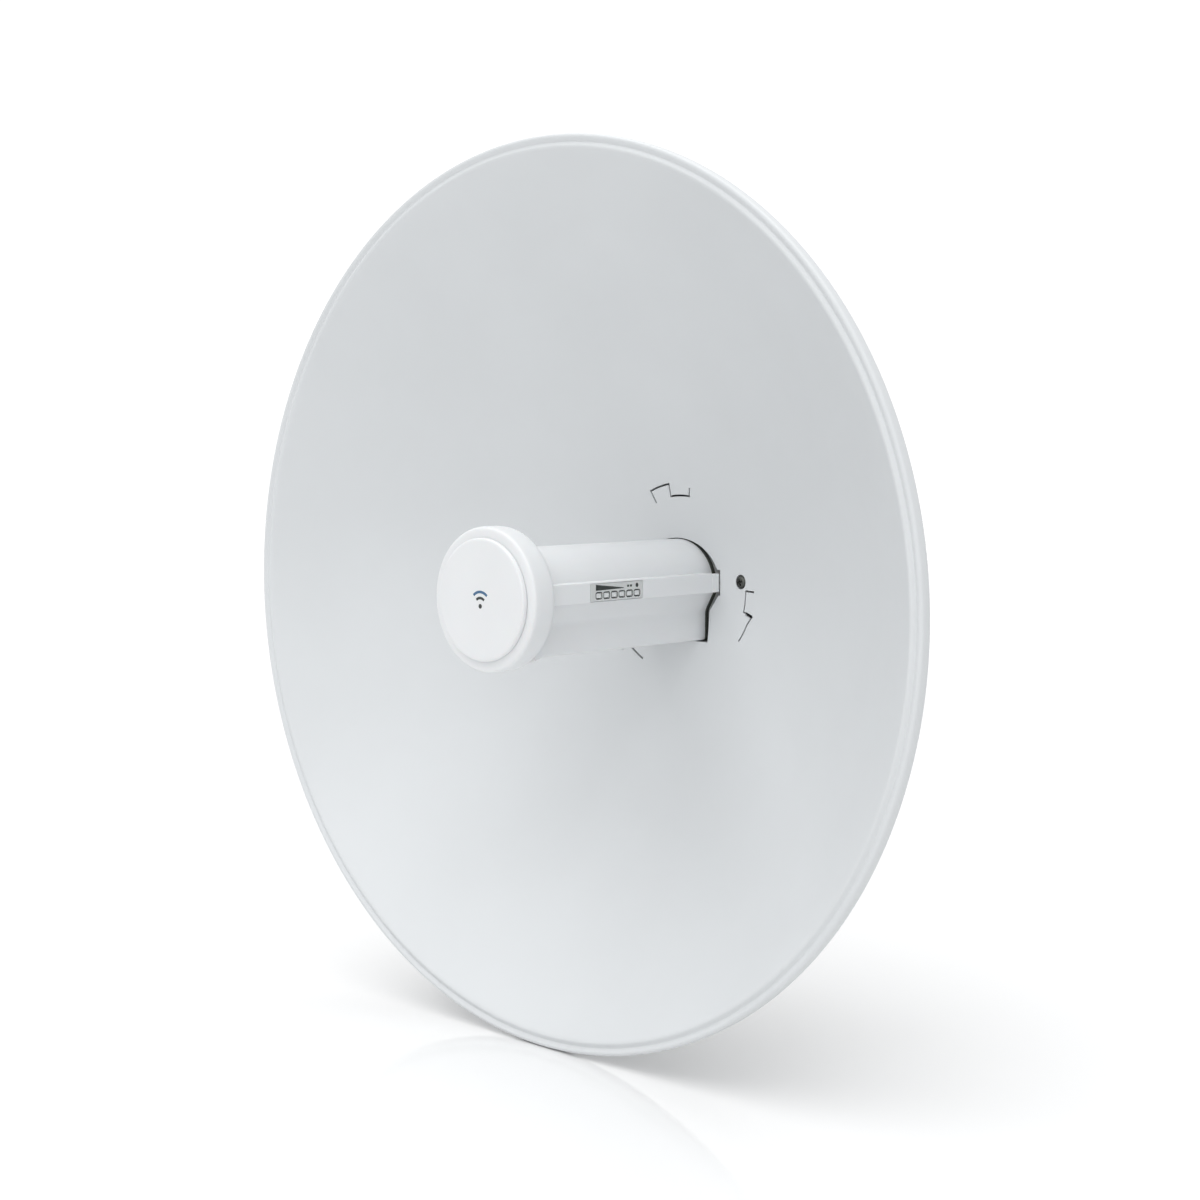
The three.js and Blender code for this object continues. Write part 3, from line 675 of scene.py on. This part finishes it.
def make_feed_body():
    """The hollow barrel with the rib along its side, and the ways through both."""
    outer = rounded_corners(barrel_outline(0), BARREL_ROUND)
    body = prism("feed_body_fine", outer, BARREL_FRONT, BARREL_TAIL, along_y)
    rib_outline = rounded_corners(rectangle(22, RIB_FACE, RIB_LOW, RIB_HIGH), 0.9)
    rib = prism("rib", rib_outline, BARREL_FRONT, RIB_END, along_y)
    root = prism("root", rectangle(24, 33, -2, 7.2), FRONT + 136, BARREL_TAIL - 0.2, along_y)
    joined(body, [rib, root])
    low, high = box_mm("led_panel")
    middle, size = (low + high) / 2, high - low
    seat_outline = rounded_box(middle.y, middle.z, size.y + 0.5, size.z + 0.5, 0.6)
    seat = prism("seat", seat_outline, RIB_FACE - 1, RIB_FACE + 1, along_x)
    lights = rectangle(FRONT + 9, FRONT + 47, LED_HEIGHT - 2.2, LED_HEIGHT + 2.2)
    way = prism("way", lights, RIB_ROOT, RIB_FACE, along_x)
    inside = barrel_outline(-BARREL_WALL)
    cavity = prism("cavity", inside, BARREL_FRONT - 5, BARREL_TAIL + 5, along_y)
    mouth = prism("mouth", rectangle(*JACK_MOUTH), BARREL_FLOOR - 7, -20, along_z)
    hole = prism("hole", circle(*RESET_HOLE), BARREL_FLOOR - 7, -20, along_z)
    cut_away(body, [cavity, seat, way, mouth, hole])
    shade(body, 28)
    weighted(body)
    stand_for(body, "feed_body")


def make_painted_hub_shade():
    """A dark band round the barrel where it enters the hub: painted shade for the shadowed gap
    between the barrel and the hub's hole.
    """
    near, far = FRONT + 118.8, FRONT + 122
    rings = [(near, 0.05), (near + 0.3, 0.3), (far - 0.3, 0.3), (far, 0.05)]
    outlines = [(y, rounded_corners(barrel_outline(grow), BARREL_ROUND)) for y, grow in rings]
    # This band is painted shade: it darkens the barrel where it runs into the hub's hole.
    shade_band = loft("painted_hub_shade_band", outlines)
    cut_away(shade_band, [prism("inside", barrel_outline(-0.4), near - 1, far + 1, along_y)])
    add_detail(shade_band, "feed_body", PAINTED_HUB_SHADE)


def make_cap_base():
    """The ring behind the cap and its flared collar, which runs smoothly onto the barrel."""
    back = BARREL_FRONT
    edge = [(CAP_BASE_RADIUS, back - 3), (CAP_BASE_RADIUS, back + 0.7)]
    disc = turn("cap_base_fine", [(0, back - 3)] + edge + [(0, back + 0.7)], 96)
    flare, steps = [], 8
    for step in range(steps + 1):
        along = step / steps
        grow = 0.25 + (COLLAR_WALL + 0.1) * (1 - along) ** 1.5
        outline = rounded_corners(barrel_outline(grow), 2.4)
        flare.append((back + 0.2 + (COLLAR_LENGTH - 0.2) * along, outline))
    joined(disc, [loft("flare", flare)])
    near, far = back - 0.3, back + COLLAR_LENGTH + 1
    opening_outline = rounded_corners(barrel_outline(0.12), BARREL_ROUND)
    opening = prism("opening", opening_outline, near, far, along_y)
    bore = prism("bore", barrel_outline(-BARREL_WALL), back - 5, back + 5, along_y)
    rib_way = rectangle(RIB_ROOT, RIB_FACE + 4, RIB_LOW - 0.1, RIB_HIGH + 0.1)
    notch = prism("notch", rib_way, near, back + 20, along_y)
    cut_away(disc, [opening, bore, notch])
    shade(disc, 30)
    stand_for(disc, "cap_base")


def make_panel_print():
    """Printed marks on the light panel: window frames, a strength wedge and two signs."""
    face = box_mm("led_panel")[1].x
    low, high = face - 0.05, face + 0.04

    def mark(name, outline):
        add_detail(prism(name, outline, low, high, along_x), "led_panel", INK)

    wide, tall = LED_WINDOW
    for i in range(LED_COUNT):
        y = FRONT + LED_FIRST + i * LED_PITCH
        outer = rounded_box(y, LED_HEIGHT, wide + 0.9, tall + 0.9, 1.3)
        ring = prism(f"window_frame_{i + 1}", outer, low, high, along_x)
        inner = rounded_box(y, LED_HEIGHT, wide, tall, 1)
        hole = prism("hole", inner, low - 1, high + 1, along_x)
        cut_away(ring, [hole])
        add_detail(ring, "led_panel", INK)
    start = FRONT + LED_FIRST - LED_PITCH * 0.4
    mark("strength_wedge", [(start, 3.7), (start + 23, 4.1), (start + 23, 4.5), (start, 7.1)])
    lan = FRONT + LED_FIRST + 4 * LED_PITCH
    mark("link_sign_left", rectangle(lan - 2, lan - 0.4, 4.6, 5.8))
    mark("link_sign_right", rectangle(lan + 0.4, lan + 2, 4.6, 5.8))
    mark("power_sign", circle(FRONT + LED_FIRST + 5 * LED_PITCH, 5.3, 1.2))


# ---- screws, bolts and nuts ----

def threaded(start, end, radius, pitch, steps=8, segments=32):
    """The rings of a threaded rod, each a list of (along, angle, radius) points."""
    rows = int((end - start) / pitch * steps)
    depth = 0.55 * pitch
    rings = []
    for row in range(rows + 1):
        along = start + (end - start) * row / rows
        ring = []
        for i in range(segments):
            phase = ((along - start) / pitch - i / segments) % 1
            tooth = abs(2 * phase - 1)
            fade = max(0.15, min(1, (end - along) / pitch, (along - start) / pitch))
            ring.append((along, 2 * math.pi * i / segments, radius - depth * tooth * fade))
        rings.append(ring)
    return rings


def rod(name, rings, place):
    """A closed rod from rings of points. place turns (along, a, b) into x, y, z."""
    segments = len(rings[0])
    points = [place(along, r * math.cos(t), r * math.sin(t))
              for ring in rings for along, t, r in ring]
    faces = [tuple(range(segments))[::-1], tuple(range(len(points) - segments, len(points)))]
    for row in range(len(rings) - 1):
        for i in range(segments):
            j = (i + 1) % segments
            a, b = row * segments, (row + 1) * segments
            faces.append((a + i, a + j, b + j, b + i))
    piece = make_mesh(name, points, faces, 50)
    face_out(piece)
    shade(piece, 50)
    return piece


def plain_ring(along, radius, segments=32):
    return [(along, 2 * math.pi * i / segments, radius) for i in range(segments)]


def make_carriage_bolt(node):
    """A domed head, a plain shank and a threaded end."""
    low, high = box_mm(node)
    middle, head = (low + high) / 2, (high.x - low.x) / 2
    seat = low.y + 4.4                  # the flat under the head
    dome = [math.radians(angle) for angle in (3, 15, 28, 42, 56, 70, 82)]
    rings = [plain_ring(low.y + (1 - math.cos(t)) * 4.1, max(0.3, head * math.sin(t)))
             for t in dome]
    rings += [plain_ring(seat - 0.25, head), plain_ring(seat, head - 0.3)]
    rings += [plain_ring(seat + 0.05, BOLT_RADIUS), plain_ring(seat + 14, BOLT_RADIUS)]
    rings += threaded(seat + 14.2, high.y - 0.8, BOLT_RADIUS, BOLT_PITCH)
    rings += [plain_ring(high.y - 0.4, 3.2), plain_ring(high.y, 2.8)]
    bolt = rod(node + "_fine", rings, lambda along, a, b: (middle.x + a, along, middle.z + b))
    stand_for(bolt, node)


def make_lock_screw():
    """A domed head with a cross cut in it, on a plain shank."""
    low, high = box_mm("lock_screw")
    middle, radius = (low + high) / 2, (high.x - low.x) / 2
    head = low.y
    profile = [
        (0, head), (1.4, head + 0.02), (2.5, head + 0.25), (3.2, head + 0.7),
        (3.65, head + 1.3), (radius, head + 1.9), (radius, head + 2.2), (2, head + 2.2),
        (2, head + 20), (0, head + 21),
    ]
    screw = turn("screw", profile, 48, middle.x, middle.z)
    arms = []
    for turned in (20, 110):
        along = Vector((math.cos(math.radians(turned)), math.sin(math.radians(turned))))
        across = Vector((-along.y, along.x)) * 0.45
        along = along * 2.2
        centre = Vector((middle.x, middle.z))
        corners = [centre - along - across, centre + along - across,
                   centre + along + across, centre - along + across]
        arms.append(prism("arm", [tuple(c) for c in corners], head - 1, head + 1.5, along_y))
    cut_away(screw, arms)
    shade(screw, 35)
    stand_for(screw, "lock_screw")


def make_tilt_scale():
    """Nine ticks printed on the bracket's ear, five degrees apart about the pivot."""
    ear = box_mm("tilt_lock_nut")[0].x - 0.3
    pivot_low, pivot_high = box_mm("pivot_nut")
    pivot = (pivot_low + pivot_high) / 2
    for step in range(-4, 5):
        turned = math.radians(-90 + 5 * step)
        long = 3 if step % 2 == 0 else 1.8
        out = Vector((math.cos(turned), math.sin(turned)))
        across = Vector((-out.y, out.x)) * 0.2
        centre = Vector((pivot.y, pivot.z))
        inner, outer = centre + out * TICK_START, centre + out * (TICK_START + long)
        corners = [inner - across, outer - across, outer + across, inner + across]
        outline = [tuple(c) for c in corners]
        tick = prism(f"tilt_tick_{step + 5}", outline, ear - 0.05, ear + 0.05, along_x)
        add_detail(tick, "pole_bracket", INK)


# ---- floor, light and camera ----

STAGE_REACH = 6000                   # from the middle of the floor to its edges
AZIMUTH, ELEVATION = 43.94, 2.42     # where the camera stands, in degrees
DISTANCE = 1140.61                   # from the plane through the dish's front centre
ASIDE, ABOVE = 25.84, 42.45          # how far the camera is off that centre
FIELD = 1994.62 / 1200               # focal length over the frame's width
SENSOR = 36
SHIFT = (0.01133, -0.06592)


def make_floor():
    height = CAD_BOX[0].z / MM - 0.4
    square = rectangle(-STAGE_REACH, STAGE_REACH, -STAGE_REACH, STAGE_REACH)
    floor = make_mesh("floor", [(x, y, height) for x, y in square], [(0, 1, 2, 3)])
    nodes = Nodes("floor_look")
    tone = nodes.ramp(nodes.noise(400, 2), (0.85, 0.85, 0.85), (0.87, 0.87, 0.87))
    nodes.drive("Base Color", tone)
    nodes.drive("Roughness", nodes.span(nodes.noise(60, 2), 0.08, 0.1))
    nodes.set(Specular_IOR_Level=0.3)
    floor.data.materials.append(nodes.material)


def sun_light(name, source, strength, angle):
    """Even light from a wide patch of sky in the direction of source."""
    data = bpy.data.lights.new(name, "SUN")
    data.energy = strength
    data.angle = math.radians(angle)
    light = bpy.data.objects.new(name, data)
    bpy.context.scene.collection.objects.link(light)
    light.rotation_mode = "QUATERNION"
    light.rotation_quaternion = (-Vector(source)).to_track_quat("-Z", "Y")


def make_world():
    """White where it is seen or reflected; a dimmer white for the soft light it gives."""
    world = bpy.data.worlds.new("studio")
    bpy.context.scene.world = world
    world.use_nodes = True
    tree = world.node_tree
    tree.nodes.clear()
    seen = tree.nodes.new("ShaderNodeBackground")
    seen.inputs["Color"].default_value = (1, 1, 1, 1)
    seen.inputs["Strength"].default_value = 1.1
    felt = tree.nodes.new("ShaderNodeBackground")
    felt.inputs["Color"].default_value = (0.97, 0.985, 1, 1)
    felt.inputs["Strength"].default_value = 0.48
    path = tree.nodes.new("ShaderNodeLightPath")
    either = tree.nodes.new("ShaderNodeMath")
    either.operation = "MAXIMUM"
    tree.links.new(path.outputs["Is Camera Ray"], either.inputs[0])
    tree.links.new(path.outputs["Is Glossy Ray"], either.inputs[1])
    mix = tree.nodes.new("ShaderNodeMixShader")
    output = tree.nodes.new("ShaderNodeOutputWorld")
    tree.links.new(either.outputs["Value"], mix.inputs["Fac"])
    tree.links.new(felt.outputs["Background"], mix.inputs[1])
    tree.links.new(seen.outputs["Background"], mix.inputs[2])
    tree.links.new(mix.outputs["Shader"], output.inputs["Surface"])


def make_camera():
    turned, raised = math.radians(AZIMUTH), math.radians(ELEVATION)
    back = Vector((math.sin(turned) * math.cos(raised), -math.cos(turned) * math.cos(raised),
                   math.sin(raised)))
    right = Vector((math.cos(turned), math.sin(turned), 0))
    up = back.cross(right)
    data = bpy.data.cameras.new("camera")
    data.sensor_width = SENSOR
    data.lens = FIELD * SENSOR
    data.shift_x, data.shift_y = SHIFT
    camera = bpy.data.objects.new("camera", data)
    bpy.context.scene.collection.objects.link(camera)
    centre = Vector((0, FRONT, 0))
    camera.location = (centre + right * ASIDE + up * ABOVE + back * DISTANCE) * MM
    camera.rotation_mode = "QUATERNION"
    camera.rotation_quaternion = (-back).to_track_quat("-Z", "Y")
    bpy.context.scene.camera = camera


# ---- everything, in order ----

make_dish()
make_cap()
make_face_disc()
make_cap_mark()
make_feed_body()
make_painted_hub_shade()
make_cap_base()
for node, width in (("release_latch", 0.5), ("tail_cover", 0.4), ("led_panel", 0.12),
                    ("light_pipe", 0.15), ("network_jack", 0.25), ("reset_button", 0.2),
                    ("rear_housing", 0.8), ("port_cover", 0.6), ("cable_grommet", 0.3),
                    ("pole_bracket", 0.4), ("pole_clamp", 0.4)):
    refine(node, width)
make_panel_print()
for i in range(4):
    make_carriage_bolt(f"carriage_bolt_{i + 1}")
    refine(f"clamp_nut_{i + 1}", 0.3)
for node in ("pivot_bolt", "pivot_nut", "tilt_lock_bolt", "tilt_lock_nut"):
    refine(node, 0.3)
make_lock_screw()
make_tilt_scale()

# The nodes that keep their CAD surface take a material too.
for node, part in frame["nodes"].items():
    for slot in part.material_slots:
        slot.material = MATERIALS[SLOT_OF[node]]

make_floor()
make_world()
make_camera()
sun_light("sky_panel", (0, -0.22, 1), 2.45, 80)
sun_light("front_panel", (1.35, -2.15, 1.0), 0.45, 40)
bpy.context.scene.view_settings.view_transform = "Standard"
